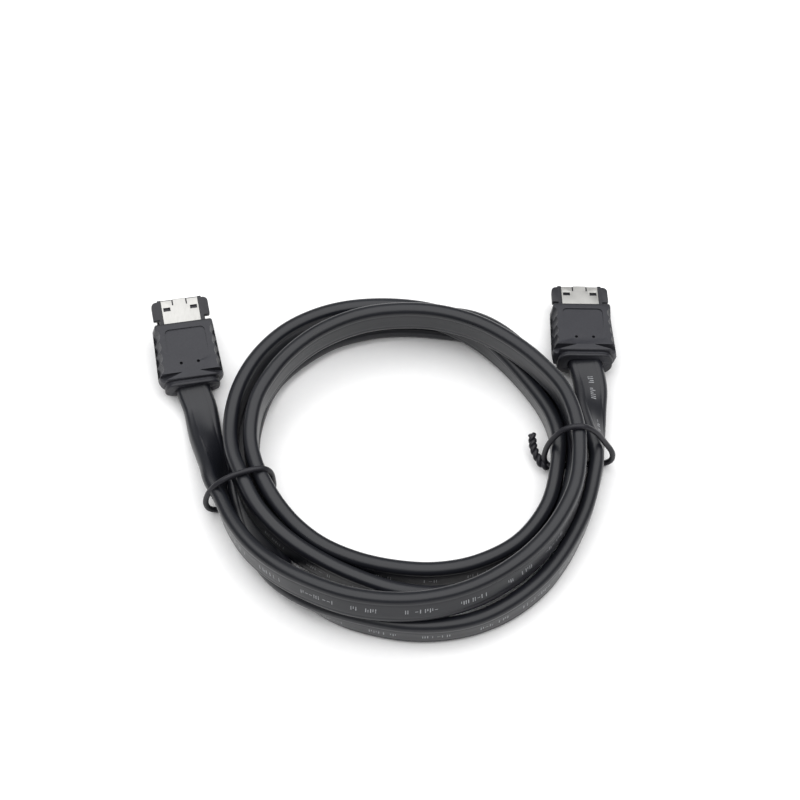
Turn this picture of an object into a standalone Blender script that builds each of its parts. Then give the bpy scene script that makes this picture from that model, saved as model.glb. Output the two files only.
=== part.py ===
"""Flat data cable, 1 m long: coiled, held by two wire ties, with a moulded plug at each end."""

import math

import bmesh
import bpy
from mathutils import Matrix, Vector

# Sizes in metres. The cable and the ties are placed from the coil's centre, with z up from the table.

# Flat cable
CABLE_WIDTH = 0.0085
CABLE_THICKNESS = 0.0038
CABLE_EDGE_RADIUS = 0.0012
CORD_GAP = 0.0003

# Coil: angle in degrees, inner radius, outer radius, underside, top, squareness of the section
COIL_STATIONS = (
    (0, 0.0364, 0.0455, 0.0019, 0.0150, 1.9),
    (20, 0.0362, 0.0453, 0.0004, 0.0170, 3.0),
    (45, 0.0356, 0.0440, 0.0002, 0.0172, 3.4),
    (90, 0.0329, 0.0436, 0.0002, 0.0172, 3.4),
    (112, 0.0330, 0.0452, 0.0002, 0.0172, 3.4),
    (135, 0.0332, 0.0460, 0.0002, 0.0160, 3.4),
    (160, 0.0338, 0.0442, 0.0003, 0.0135, 3.4),
    (180, 0.0343, 0.0431, 0.0008, 0.0122, 3.2),
    (202, 0.0344, 0.0431, 0.0019, 0.0118, 3.0),
    (220, 0.0334, 0.0462, 0.0004, 0.0140, 3.2),
    (235, 0.0326, 0.0486, 0.0002, 0.0165, 3.4),
    (270, 0.0329, 0.0520, 0.0002, 0.0172, 3.4),
    (295, 0.0350, 0.0530, 0.0002, 0.0172, 3.4),
    (315, 0.0364, 0.0520, 0.0002, 0.0172, 3.4),
    (332, 0.0370, 0.0505, 0.0004, 0.0172, 3.2),
    (345, 0.0368, 0.0457, 0.0010, 0.0162, 2.4),
)
COIL_STEPS = 72
COIL_SIDES = 16

# Wire ties
TIE_WIRE_RADIUS = 0.00068
TIE_TWIST_GAP = 0.00012
TIE_TWIST_PITCH = 0.0042
LEFT_TIE_ANGLE = 199.5
# Distance from the coil's centre and height of the left loop
LEFT_TIE_LOOP = (
    (0.0335, 0.0014), (0.0333, 0.0055), (0.0336, 0.0100), (0.0354, 0.0127), (0.0388, 0.0134),
    (0.0424, 0.0131), (0.0461, 0.0126), (0.0487, 0.0107), (0.0492, 0.0060), (0.0486, 0.0017),
    (0.0464, 0.0007), (0.0430, 0.0007), (0.0395, 0.0007), (0.0355, 0.0007),
)
RIGHT_TIE_Y = -0.0012
# X and height of the right loop, from the twist round to the twist
RIGHT_TIE_LOOP = (
    (0.0354, 0.0052), (0.0357, 0.0100), (0.0370, 0.0141), (0.0396, 0.0164), (0.0427, 0.0170),
    (0.0464, 0.0156), (0.0499, 0.0127), (0.0515, 0.0094), (0.0516, 0.0050), (0.0507, 0.0014),
    (0.0480, 0.0007), (0.0430, 0.0007), (0.0385, 0.0007), (0.0358, 0.0013),
)
RIGHT_TIE_TWIST = (
    (0.0350, -0.0022, 0.0030), (0.0339, -0.0003, 0.0032), (0.0332, 0.0023, 0.0036), (0.0330, 0.0050, 0.0042),
)
TIE_POINT_SPACING = 0.0018

# Plug moulding
BODY_FRONT_WIDTH = 0.0155
BODY_REAR_WIDTH = 0.0167
BODY_THICKNESS = 0.0082
BODY_LENGTH = 0.0135
BODY_CORNER_RADIUS = 0.0010
BODY_EDGE_RADIUS = 0.0006
GRIP_DEPTH = 0.00035
GRIP_PITCH = 0.0031
GRIP_HALF_LENGTH = 0.0011
GRIP_FIRST = 0.0045
GRIP_COUNT = 3
COLLAR_WIDTH = 0.0152
COLLAR_LENGTH = 0.0033
COLLAR_THICKNESS = 0.0070
COLLAR_CORNER_RADIUS = 0.0028
COLLAR_OVERLAP = 0.0040
PANEL_WIDTH = 0.0095
PANEL_LENGTH = 0.0068
PANEL_DEPTH = 0.00025
PANEL_FROM_FRONT = 0.0022
PIN_MARK_RADIUS = 0.00032
PIN_MARK_DEPTH = 0.0006
PIN_MARK_SPACING = 0.0043
PIN_MARK_FROM_FRONT = 0.0110

# Plug connector
NOSE_LENGTH = 0.0070
NOSE_STEP = 0.0015
NOSE_WIDTH = 0.0144
NOSE_ROOT_WIDTH = 0.0124
NOSE_THICKNESS = 0.0049
NOSE_CORNER_RADIUS = 0.0012
NOTCH_LENGTH = 0.0015
NOSE_BURIED = 0.0050
SLOT_WIDTH = 0.0108
SLOT_HEIGHT = 0.0027
SLOT_DEPTH = 0.0066
PLATE_WIDTH = 0.0093
PLATE_THICKNESS = 0.0003
PLATE_BURIED = 0.0032
PLATE_RIM = 0.00015
WINDOW_WIDTH = 0.0018
WINDOW_LENGTH = 0.0011
WINDOW_RIM = 0.00035
WINDOW_FROM_FRONT = 0.0027
SLIT_WIDTH = 0.00045
SLIT_LENGTH = 0.0016
SLIT_SPACING = 0.0035
CONTACT_COUNT = 7
CONTACT_PITCH = 0.00127
CONTACT_WIDTH = 0.00070
CONTACT_THICKNESS = 0.00025
CONTACT_FROM_FRONT = 0.0006
FIT_GAP = 0.00012

# Inside the moulding
INSERT_WIDTH = 0.0116
INSERT_THICKNESS = 0.0042
INSERT_LENGTH = 0.0044
PAIR_WIDTH = 0.0034
PAIR_THICKNESS = 0.0022
PAIR_LENGTH = 0.0030

# Places: middle of the moulding's front top edge, then turn, nose-up pitch and roll in degrees
LEFT_PLUG_PLACE = (-0.0546, 0.0338, 0.0117)
LEFT_PLUG_TURN = (10.9, 13.5, 3.5)
RIGHT_PLUG_PLACE = (0.0462, 0.0416, 0.0086)
RIGHT_PLUG_TURN = (1.8, -5.2, 3.5)

# Cable between each plug and the coil: x, y, z of its middle, then its turn about itself, where 90 is flat
LEFT_TAIL = (
    (-0.0507, 0.0152, 0.0029, 90), (-0.0495, 0.0100, 0.0027, 86), (-0.0484, 0.0045, 0.0036, 68),
    (-0.0473, -0.0010, 0.0051, 42), (-0.0463, -0.0060, 0.0062, 14), (-0.0452, -0.0105, 0.0064, 0),
    (-0.0439, -0.0145, 0.0065, 0), (-0.0426, -0.0178, 0.0066, 0),
)
RIGHT_TAIL = (
    (0.0467, 0.0206, 0.0060, -90), (0.0472, 0.0170, 0.0062, -80), (0.0480, 0.0135, 0.0063, -60),
    (0.0486, 0.0100, 0.0063, -38), (0.0490, 0.0060, 0.0063, -16), (0.0488, 0.0020, 0.0063, -3),
    (0.0485, -0.0030, 0.0063, 0), (0.0481, -0.0078, 0.0063, 0),
)
TAIL_POINT_SPACING = 0.0021
PROFILE_CORNER_STEPS = 3

BODY_MIDDLE = BODY_THICKNESS / 2
NOSE_MIDDLE = BODY_THICKNESS - NOSE_STEP - NOSE_THICKNESS / 2
BODY_END = BODY_LENGTH + COLLAR_LENGTH
CAVITY_LENGTH = NOSE_BURIED + INSERT_LENGTH + 3 * FIT_GAP
CABLE_BURIED = BODY_END - CAVITY_LENGTH - PAIR_LENGTH - CORD_GAP

COLOURS = {
    "moulding": ((0.065, 0.067, 0.073), 0.50, 0.0),
    "cable": ((0.035, 0.037, 0.042), 0.42, 0.0),
    "housing": ((0.045, 0.046, 0.050), 0.45, 0.0),
    "shield": ((0.70, 0.69, 0.66), 0.22, 1.0),
    "contact": ((0.83, 0.62, 0.28), 0.25, 1.0),
    "insert": ((0.55, 0.54, 0.50), 0.55, 0.0),
    "pair": ((0.60, 0.60, 0.61), 0.35, 1.0),
    "tie": ((0.10, 0.10, 0.105), 0.40, 0.0),
}


def clear_scene():
    for obj in list(bpy.data.objects):
        bpy.data.objects.remove(obj, do_unlink=True)


def new_collection(name):
    collection = bpy.data.collections.new(name)
    bpy.context.scene.collection.children.link(collection)
    return collection


def new_material(piece, kind):
    colour, roughness, metallic = COLOURS[kind]
    material = bpy.data.materials.new(piece)
    material.use_nodes = True
    shader = material.node_tree.nodes["Principled BSDF"]
    shader.inputs["Base Color"].default_value = (*colour, 1.0)
    shader.inputs["Roughness"].default_value = roughness
    shader.inputs["Metallic"].default_value = metallic
    material.diffuse_color = (*colour, 1.0)
    return material


def add_piece(name, data, kind, parent=None):
    obj = bpy.data.objects.new(name, data)
    data.materials.clear()
    data.materials.append(new_material(name, kind))
    PARTS.objects.link(obj)
    obj.parent = parent
    return obj


def add_cutter(name, mesh, parent=None):
    obj = bpy.data.objects.new(name, mesh)
    obj.hide_render = True
    obj.display_type = "WIRE"
    CUTTERS.objects.link(obj)
    obj.parent = parent
    return obj


def combine(target, other, operation):
    modifier = target.modifiers.new(other.name, "BOOLEAN")
    modifier.object = other
    modifier.operation = operation
    modifier.solver = "EXACT"


def box_mesh(name, low, high, corner_radius=0.0, edge_radius=0.0, steps=4):
    """A box, with its upright edges rounded first and then the edges round its top and bottom."""
    size = Vector(high) - Vector(low)
    centre = (Vector(high) + Vector(low)) / 2
    bm = bmesh.new()
    bmesh.ops.create_cube(bm, size=1.0, matrix=Matrix.Translation(centre) @ Matrix.Diagonal((*size, 1.0)))
    if corner_radius:
        upright = [e for e in bm.edges if abs(e.verts[0].co.z - e.verts[1].co.z) > size.z / 2]
        bmesh.ops.bevel(bm, geom=upright, offset=corner_radius, segments=steps, profile=0.5, affect="EDGES")
    if edge_radius:
        level = [e for e in bm.edges if abs(abs(e.verts[0].co.z - centre.z) - size.z / 2) < 1e-7
                 and abs(abs(e.verts[1].co.z - centre.z) - size.z / 2) < 1e-7
                 and abs(e.verts[0].co.z - e.verts[1].co.z) < 1e-7]
        bmesh.ops.bevel(bm, geom=level, offset=edge_radius, segments=2, profile=0.5, affect="EDGES")
    mesh = bpy.data.meshes.new(name)
    bm.to_mesh(mesh)
    bm.free()
    return mesh


def flat_mesh(name, outline, low, high):
    """An outline in plan, extruded from one height to another."""
    curve = bpy.data.curves.new(name, "CURVE")
    curve.dimensions = "2D"
    curve.fill_mode = "BOTH"
    curve.extrude = (high - low) / 2
    spline = curve.splines.new("POLY")
    spline.points.add(len(outline) - 1)
    for point, (x, y) in zip(spline.points, outline):
        point.co = (x, y, 0.0, 1.0)
    spline.use_cyclic_u = True
    holder = bpy.data.objects.new(name, curve)
    bpy.context.scene.collection.objects.link(holder)
    graph = bpy.context.evaluated_depsgraph_get()
    mesh = bpy.data.meshes.new_from_object(holder.evaluated_get(graph))
    bpy.data.objects.remove(holder)
    bpy.data.curves.remove(curve)
    bm = bmesh.new()
    bm.from_mesh(mesh)
    bmesh.ops.remove_doubles(bm, verts=bm.verts, dist=1e-6)
    bmesh.ops.dissolve_limit(bm, angle_limit=math.radians(1), verts=bm.verts, edges=bm.edges)
    bmesh.ops.translate(bm, verts=bm.verts, vec=(0.0, 0.0, (high + low) / 2))
    bmesh.ops.recalc_face_normals(bm, faces=bm.faces)
    bm.to_mesh(mesh)
    bm.free()
    return mesh


def rounded_outline(half_x, half_y, radius, steps):
    """Corners of a rectangle with round corners, counter-clockwise."""
    points = []
    for corner, (sx, sy) in enumerate(((1, 1), (-1, 1), (-1, -1), (1, -1))):
        for step in range(steps + 1):
            angle = math.radians(90 * corner + 90 * step / steps)
            points.append((sx * (half_x - radius) + radius * math.cos(angle),
                           sy * (half_y - radius) + radius * math.sin(angle)))
    return points


def smooth_route(points, spacing, closed=False):
    """Evenly spaced points on a smooth curve through the route's points, each with its extra values."""
    count = len(points)
    spans = count if closed else count - 1

    def at(index):
        if closed:
            return Vector(points[index % count])
        return Vector(points[min(max(index, 0), count - 1)])

    fine = []
    for span in range(spans):
        a, b, c, d = at(span - 1), at(span), at(span + 1), at(span + 2)
        for step in range(24):
            t = step / 24
            fine.append(0.5 * (2 * b + (c - a) * t + (2 * a - 5 * b + 4 * c - d) * t * t
                               + (3 * b - 3 * c + d - a) * t ** 3))
    fine.append(at(0) if closed else at(count - 1))
    lengths = [0.0]
    for first, second in zip(fine, fine[1:]):
        lengths.append(lengths[-1] + (Vector(second[:3]) - Vector(first[:3])).length)
    pieces = max(2, round(lengths[-1] / spacing))
    route = []
    place = 0
    for piece in range(pieces if closed else pieces + 1):
        wanted = lengths[-1] * piece / pieces
        while place < len(fine) - 2 and lengths[place + 1] < wanted:
            place += 1
        share = (wanted - lengths[place]) / (lengths[place + 1] - lengths[place])
        route.append(fine[place].lerp(fine[place + 1], share))
    return route


def add_wire(name, route, closed):
    curve = bpy.data.curves.new(name, "CURVE")
    curve.dimensions = "3D"
    curve.bevel_depth = TIE_WIRE_RADIUS
    curve.bevel_resolution = 2
    curve.use_fill_caps = not closed
    spline = curve.splines.new("POLY")
    spline.points.add(len(route) - 1)
    for point, place in zip(spline.points, route):
        point.co = (*place[:3], 1.0)
    spline.use_cyclic_u = closed
    return add_piece(name, curve, "tie")


def coil_station(degrees):
    """Inner and outer radius, underside, top and squareness at an angle, eased from station to station."""
    stations = COIL_STATIONS + ((360 + COIL_STATIONS[0][0], *COIL_STATIONS[0][1:]),)
    for before, after in zip(stations, stations[1:]):
        if before[0] <= degrees <= after[0]:
            share = (degrees - before[0]) / (after[0] - before[0])
            eased = (1 - math.cos(math.pi * share)) / 2
            return [a + (b - a) * eased for a, b in zip(before[1:], after[1:])]
    return list(stations[0][1:])


def add_coil():
    """The outer shape of the coiled cable: a ring whose section follows the coil's stations."""
    bpy.ops.mesh.primitive_torus_add(major_segments=COIL_STEPS, minor_segments=COIL_SIDES,
                                     major_radius=1.0, minor_radius=0.25)
    ring = bpy.context.object
    for vertex in ring.data.vertices:
        angle = math.atan2(vertex.co.y, vertex.co.x)
        around = math.atan2(vertex.co.z, math.hypot(vertex.co.x, vertex.co.y) - 1.0)
        inner, outer, underside, top, power = coil_station(math.degrees(angle) % 360)
        across = math.copysign(abs(math.cos(around)) ** (2 / power), math.cos(around))
        upward = math.copysign(abs(math.sin(around)) ** (2 / power), math.sin(around))
        radius = (inner + outer) / 2 + across * (outer - inner) / 2
        vertex.co = (radius * math.cos(angle), radius * math.sin(angle),
                     (underside + top) / 2 + upward * (top - underside) / 2)
    mesh = ring.data
    bpy.data.objects.remove(ring)
    return add_piece("cable_coil", mesh, "cable")


def add_cable_profile():
    """The flat cable's section, standing on edge, which the tails are swept with."""
    outline = rounded_outline(CABLE_THICKNESS / 2, CABLE_WIDTH / 2, CABLE_EDGE_RADIUS, PROFILE_CORNER_STEPS)
    curve = bpy.data.curves.new("cable_profile", "CURVE")
    curve.dimensions = "2D"
    curve.fill_mode = "NONE"
    spline = curve.splines.new("POLY")
    spline.points.add(len(outline) - 1)
    for point, (x, y) in zip(spline.points, reversed(outline)):
        point.co = (x, y, 0.0, 1.0)
    spline.use_cyclic_u = True
    profile = bpy.data.objects.new("cable_profile", curve)
    profile.hide_render = True
    CUTTERS.objects.link(profile)
    return profile


def add_tail(name, plug, tail, profile):
    """Cable from inside a plug's collar to the coil's side."""
    turn = tail[0][3]
    inside = CABLE_BURIED - BODY_END
    start = [(*(plug @ Vector((0.0, y, BODY_MIDDLE))), turn) for y in (inside, -BODY_END)]
    route = smooth_route(start + list(tail), TAIL_POINT_SPACING)
    curve = bpy.data.curves.new(name, "CURVE")
    curve.dimensions = "3D"
    curve.twist_mode = "Z_UP"
    curve.bevel_mode = "OBJECT"
    curve.bevel_object = profile
    curve.use_fill_caps = True
    spline = curve.splines.new("POLY")
    spline.points.add(len(route) - 1)
    for point, place in zip(spline.points, route):
        point.co = (*place[:3], 1.0)
        point.tilt = math.radians(place[3])
    return add_piece(name, curve, "cable")


def plug_frame(place, turn):
    """Frame of a plug: y to its nose, z up, origin at the underside of the moulding's front."""
    yaw, pitch, roll = (math.radians(value) for value in turn)
    tilted = Matrix.Rotation(yaw, 4, "Z") @ Matrix.Rotation(pitch, 4, "X") @ Matrix.Rotation(roll, 4, "Y")
    return Matrix.Translation(place) @ tilted @ Matrix.Translation((0.0, 0.0, -BODY_THICKNESS))


def cut_grips(side, body, frame):
    """Upright finger grips: round grooves in both sides of the moulding."""
    radius = (GRIP_HALF_LENGTH ** 2 + GRIP_DEPTH ** 2) / (2 * GRIP_DEPTH)
    for grip in range(GRIP_COUNT):
        y = -GRIP_FIRST - grip * GRIP_PITCH
        edge = body_half_width(y) - GRIP_DEPTH + radius
        for hand in (-1, 1):
            bm = bmesh.new()
            where = Matrix.Translation((hand * edge, y, BODY_MIDDLE))
            bmesh.ops.create_cone(bm, cap_ends=True, segments=32, radius1=radius, radius2=radius,
                                  depth=2 * BODY_THICKNESS, matrix=where)
            groove = bpy.data.meshes.new(f"{side}_grip_{grip + 1}_{'right' if hand > 0 else 'left'}")
            bm.to_mesh(groove)
            bm.free()
            combine(body, add_cutter(groove.name, groove, frame), "DIFFERENCE")


def body_half_width(y):
    """Half the moulding's width, which grows from its front to its rear."""
    return (BODY_FRONT_WIDTH + (BODY_REAR_WIDTH - BODY_FRONT_WIDTH) * -y / BODY_LENGTH) / 2


def add_moulding(side, frame):
    name = f"{side}_overmold"
    half = BODY_REAR_WIDTH / 2
    mesh = box_mesh(name, (-half, -BODY_LENGTH, 0.0), (half, 0.0, BODY_THICKNESS),
                    BODY_CORNER_RADIUS, BODY_EDGE_RADIUS)
    for vertex in mesh.vertices:
        vertex.co.x *= 2 * body_half_width(vertex.co.y) / BODY_REAR_WIDTH
    body = add_piece(name, mesh, "moulding", frame)
    low = (BODY_THICKNESS - COLLAR_THICKNESS) / 2
    collar = box_mesh(f"{side}_collar", (-COLLAR_WIDTH / 2, -BODY_END, low),
                      (COLLAR_WIDTH / 2, -BODY_LENGTH + COLLAR_OVERLAP, BODY_THICKNESS - low),
                      COLLAR_CORNER_RADIUS, BODY_EDGE_RADIUS)
    combine(body, add_cutter(f"{side}_collar", collar, frame), "UNION")
    cut_grips(side, body, frame)
    panel = box_mesh(f"{side}_panel", (-PANEL_WIDTH / 2, -PANEL_FROM_FRONT - PANEL_LENGTH, -PANEL_DEPTH),
                     (PANEL_WIDTH / 2, -PANEL_FROM_FRONT, PANEL_DEPTH), 3 * PANEL_DEPTH, 0.0, 2)
    panel.transform(Matrix.Translation((0.0, 0.0, BODY_THICKNESS)))
    combine(body, add_cutter(f"{side}_panel", panel, frame), "DIFFERENCE")
    for index, x in enumerate((-PIN_MARK_SPACING / 2, PIN_MARK_SPACING / 2)):
        bm = bmesh.new()
        where = Matrix.Translation((x, -PIN_MARK_FROM_FRONT, BODY_THICKNESS))
        bmesh.ops.create_cone(bm, cap_ends=True, segments=12, radius1=PIN_MARK_RADIUS,
                              radius2=PIN_MARK_RADIUS, depth=2 * PIN_MARK_DEPTH, matrix=where)
        mark = bpy.data.meshes.new(f"{side}_pin_mark_{index + 1}")
        bm.to_mesh(mark)
        bm.free()
        combine(body, add_cutter(mark.name, mark, frame), "DIFFERENCE")
    half = NOSE_ROOT_WIDTH / 2 + FIT_GAP
    rise = NOSE_THICKNESS / 2 + FIT_GAP
    cavity = box_mesh(f"{side}_cavity", (-half, -CAVITY_LENGTH, NOSE_MIDDLE - rise),
                      (half, BODY_EDGE_RADIUS, NOSE_MIDDLE + rise))
    combine(body, add_cutter(f"{side}_cavity", cavity, frame), "DIFFERENCE")
    half = CABLE_WIDTH / 2 + CORD_GAP
    rise = CABLE_THICKNESS / 2 + CORD_GAP
    passage = box_mesh(f"{side}_passage", (-half, -BODY_END - CORD_GAP, BODY_MIDDLE - rise),
                       (half, -CAVITY_LENGTH + FIT_GAP, BODY_MIDDLE + rise))
    combine(body, add_cutter(f"{side}_passage", passage, frame), "DIFFERENCE")


def add_housing(side, frame):
    """The connector: round-cornered wings, a notch behind each, and a narrower root in the moulding."""
    name = f"{side}_housing"
    low = NOSE_MIDDLE - NOSE_THICKNESS / 2
    high = NOSE_MIDDLE + NOSE_THICKNESS / 2
    mesh = box_mesh(name, (-NOSE_WIDTH / 2, -NOSE_BURIED, low), (NOSE_WIDTH / 2, NOSE_LENGTH, high),
                    NOSE_CORNER_RADIUS)
    housing = add_piece(name, mesh, "housing", frame)
    for hand in (-1, 1):
        near = hand * NOSE_ROOT_WIDTH / 2
        far = hand * NOSE_WIDTH
        notch = box_mesh(f"{side}_notch_{'right' if hand > 0 else 'left'}",
                         (min(near, far), -NOSE_WIDTH, low - FIT_GAP),
                         (max(near, far), NOTCH_LENGTH, high + FIT_GAP))
        combine(housing, add_cutter(notch.name, notch, frame), "DIFFERENCE")
    slot = box_mesh(f"{side}_slot",
                    (-SLOT_WIDTH / 2, NOSE_LENGTH - SLOT_DEPTH, NOSE_MIDDLE - SLOT_HEIGHT / 2),
                    (SLOT_WIDTH / 2, NOSE_LENGTH + FIT_GAP, NOSE_MIDDLE + SLOT_HEIGHT / 2))
    combine(housing, add_cutter(f"{side}_slot", slot, frame), "DIFFERENCE")
    half = PLATE_WIDTH / 2 + FIT_GAP
    deep = PLATE_THICKNESS + FIT_GAP
    for face, start, end in (("upper", high - deep, high + deep), ("lower", low - deep, low + deep)):
        seat = box_mesh(f"{side}_{face}_seat", (-half, -PLATE_BURIED - FIT_GAP, start),
                        (half, NOSE_LENGTH - PLATE_RIM + FIT_GAP, end))
        combine(housing, add_cutter(f"{side}_{face}_seat", seat, frame), "DIFFERENCE")


def add_plate(side, frame, face, low):
    """A shield plate with its two latch windows and the slits beside its middle tongue."""
    name = f"{side}_shield_{face}"
    front = NOSE_LENGTH - PLATE_RIM
    plate = add_piece(name, box_mesh(name, (-PLATE_WIDTH / 2, -PLATE_BURIED, low),
                                     (PLATE_WIDTH / 2, front, low + PLATE_THICKNESS)), "shield", frame)
    middle = NOSE_LENGTH - WINDOW_FROM_FRONT
    holes = []
    aside = (PLATE_WIDTH - WINDOW_WIDTH) / 2 - WINDOW_RIM
    for x in (-aside, aside):
        holes.append((x, WINDOW_WIDTH, middle - WINDOW_LENGTH / 2, middle + WINDOW_LENGTH / 2))
    for x in (-SLIT_SPACING / 2, SLIT_SPACING / 2):
        holes.append((x, SLIT_WIDTH, front - SLIT_LENGTH, front + FIT_GAP))
    for index, (x, width, rear, fore) in enumerate(holes):
        hole = box_mesh(f"{name}_hole_{index + 1}", (x - width / 2, rear, low - PLATE_THICKNESS),
                        (x + width / 2, fore, low + 2 * PLATE_THICKNESS))
        combine(plate, add_cutter(hole.name, hole, frame), "DIFFERENCE")


def add_contacts(side, frame):
    low = NOSE_MIDDLE - SLOT_HEIGHT / 2 + FIT_GAP
    for index in range(CONTACT_COUNT):
        name = f"{side}_contact_{index + 1}"
        x = (index - (CONTACT_COUNT - 1) / 2) * CONTACT_PITCH
        mesh = box_mesh(name, (x - CONTACT_WIDTH / 2, NOSE_LENGTH - SLOT_DEPTH + FIT_GAP, low),
                        (x + CONTACT_WIDTH / 2, NOSE_LENGTH - CONTACT_FROM_FRONT, low + CONTACT_THICKNESS))
        add_piece(name, mesh, "contact", frame)


def add_insides(side, frame):
    """The insert behind the connector, and the two shielded wire pairs between it and the cable."""
    rear = -NOSE_BURIED - FIT_GAP - INSERT_LENGTH
    mesh = box_mesh(f"{side}_insert", (-INSERT_WIDTH / 2, rear, NOSE_MIDDLE - INSERT_THICKNESS / 2),
                    (INSERT_WIDTH / 2, -NOSE_BURIED - FIT_GAP, NOSE_MIDDLE + INSERT_THICKNESS / 2))
    add_piece(f"{side}_insert", mesh, "insert", frame)
    outline = rounded_outline(PAIR_WIDTH / 2, PAIR_THICKNESS / 2, PAIR_THICKNESS / 2 - FIT_GAP, 4)
    for index, x in enumerate((-CABLE_WIDTH / 4, CABLE_WIDTH / 4)):
        name = f"{side}_pair_{index + 1}"
        mesh = flat_mesh(name, outline, -PAIR_LENGTH, 0.0)
        place = Matrix.Translation((x, rear - FIT_GAP, BODY_MIDDLE))
        upright = place @ Matrix.Rotation(math.radians(-90), 4, "X")
        mesh.transform(upright)
        add_piece(name, mesh, "pair", frame)


def add_plug(side, place, turn):
    matrix = plug_frame(place, turn)
    frame = bpy.data.objects.new(f"{side}_plug_frame", None)
    PARTS.objects.link(frame)
    frame.matrix_world = matrix
    add_moulding(side, frame)
    add_housing(side, frame)
    add_plate(side, frame, "top", NOSE_MIDDLE + NOSE_THICKNESS / 2 - PLATE_THICKNESS)
    add_plate(side, frame, "bottom", NOSE_MIDDLE - NOSE_THICKNESS / 2)
    add_contacts(side, frame)
    add_insides(side, frame)
    return matrix


def add_left_tie():
    angle = math.radians(LEFT_TIE_ANGLE)
    loop = [(away * math.cos(angle), away * math.sin(angle), height) for away, height in LEFT_TIE_LOOP]
    add_wire("left_tie", smooth_route(loop, TIE_POINT_SPACING, closed=True), closed=True)


def add_right_tie():
    """One wire: along the twist, round the bundle and back, wound on its own first end."""
    loop = smooth_route([(x, RIGHT_TIE_Y, z) for x, z in RIGHT_TIE_LOOP], TIE_POINT_SPACING)
    middle = smooth_route(RIGHT_TIE_TWIST, TIE_TWIST_PITCH / 8)
    strands = ([], [])
    reach = TIE_WIRE_RADIUS + TIE_TWIST_GAP
    travelled = 0.0
    for index, centre in enumerate(middle):
        along = (middle[min(index + 1, len(middle) - 1)] - middle[max(index - 1, 0)]).normalized()
        side = along.cross(Vector((0.0, 0.0, 1.0))).normalized()
        rise = side.cross(along)
        if index:
            travelled += (centre - middle[index - 1]).length
        turn = 2 * math.pi * travelled / TIE_TWIST_PITCH + math.pi / 2
        offset = reach * (math.cos(turn) * side + math.sin(turn) * rise)
        strands[0].append(centre + offset)
        strands[1].append(centre - offset)
    add_wire("right_tie", list(reversed(strands[0])) + loop + strands[1], closed=False)


def settle_on_origin():
    """Moves the model so that the plugs and ties stand on z = 0, with their box centred on x and y."""
    bpy.context.view_layer.update()
    graph = bpy.context.evaluated_depsgraph_get()
    corners = []
    for obj in PARTS.objects:
        if obj.type == "EMPTY" or obj.name.startswith("cable_"):
            continue
        evaluated = obj.evaluated_get(graph)
        mesh = evaluated.to_mesh()
        corners += [evaluated.matrix_world @ vertex.co for vertex in mesh.vertices]
        evaluated.to_mesh_clear()
    low = Vector([min(corner[axis] for corner in corners) for axis in range(3)])
    high = Vector([max(corner[axis] for corner in corners) for axis in range(3)])
    shift = -Vector(((low.x + high.x) / 2, (low.y + high.y) / 2, low.z))
    for obj in list(PARTS.objects) + list(CUTTERS.objects):
        if obj.parent is None:
            obj.location += shift


clear_scene()
PARTS = new_collection("esata_cable")
CUTTERS = new_collection("cutters")
left_frame = add_plug("left", LEFT_PLUG_PLACE, LEFT_PLUG_TURN)
right_frame = add_plug("right", RIGHT_PLUG_PLACE, RIGHT_PLUG_TURN)
add_coil()
cable_profile = add_cable_profile()
add_tail("cable_tail_left", left_frame, LEFT_TAIL, cable_profile)
add_tail("cable_tail_right", right_frame, RIGHT_TAIL, cable_profile)
add_left_tie()
add_right_tie()
settle_on_origin()
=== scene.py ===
"""Looks of the coiled flat data cable: the cable, its two plugs and its two wire ties on a pale table."""
import math
import bmesh
import bpy
from mathutils import Matrix, Vector


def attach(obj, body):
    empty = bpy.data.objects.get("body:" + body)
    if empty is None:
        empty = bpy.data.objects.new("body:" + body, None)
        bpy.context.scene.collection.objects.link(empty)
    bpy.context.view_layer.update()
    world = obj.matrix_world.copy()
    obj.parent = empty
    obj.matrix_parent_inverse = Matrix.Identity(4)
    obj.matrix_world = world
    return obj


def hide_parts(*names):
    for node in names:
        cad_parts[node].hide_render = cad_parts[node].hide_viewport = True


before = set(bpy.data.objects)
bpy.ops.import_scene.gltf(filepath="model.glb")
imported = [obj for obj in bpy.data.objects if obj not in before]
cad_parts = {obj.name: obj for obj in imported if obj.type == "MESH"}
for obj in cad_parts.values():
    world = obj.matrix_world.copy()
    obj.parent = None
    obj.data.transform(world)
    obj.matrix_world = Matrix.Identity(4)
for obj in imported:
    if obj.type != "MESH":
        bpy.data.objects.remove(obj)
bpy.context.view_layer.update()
bpy.ops.object.select_all(action="DESELECT")

MM = 0.001

# The coil's centre in the model's frame, in metres
COIL_CENTRE = Vector((0.004263, -0.015760, 0.000031))

# Flat cable, in metres: how far apart the rings of its mesh are
RING_SPACING = 0.0014

# A quarter of the section, from the middle of a wide face to the middle of an edge: across and up, in mm
SECTION_QUARTER = (
    (1.82, 0.0), (1.82, 0.9), (1.82, 1.6), (1.80, 2.00), (1.77, 2.17), (1.765, 2.28), (1.79, 2.42),
    (1.82, 2.62), (1.80, 2.90), (1.73, 3.20), (1.58, 3.52), (1.33, 3.81), (0.98, 4.04), (0.58, 4.19),
    (0.20, 4.25),
)

# Smooth curves: samples between two given points, and the least gap between two points, in millimetres
CURVE_SAMPLES = 16
LEAST_GAP = 1e-6

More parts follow.
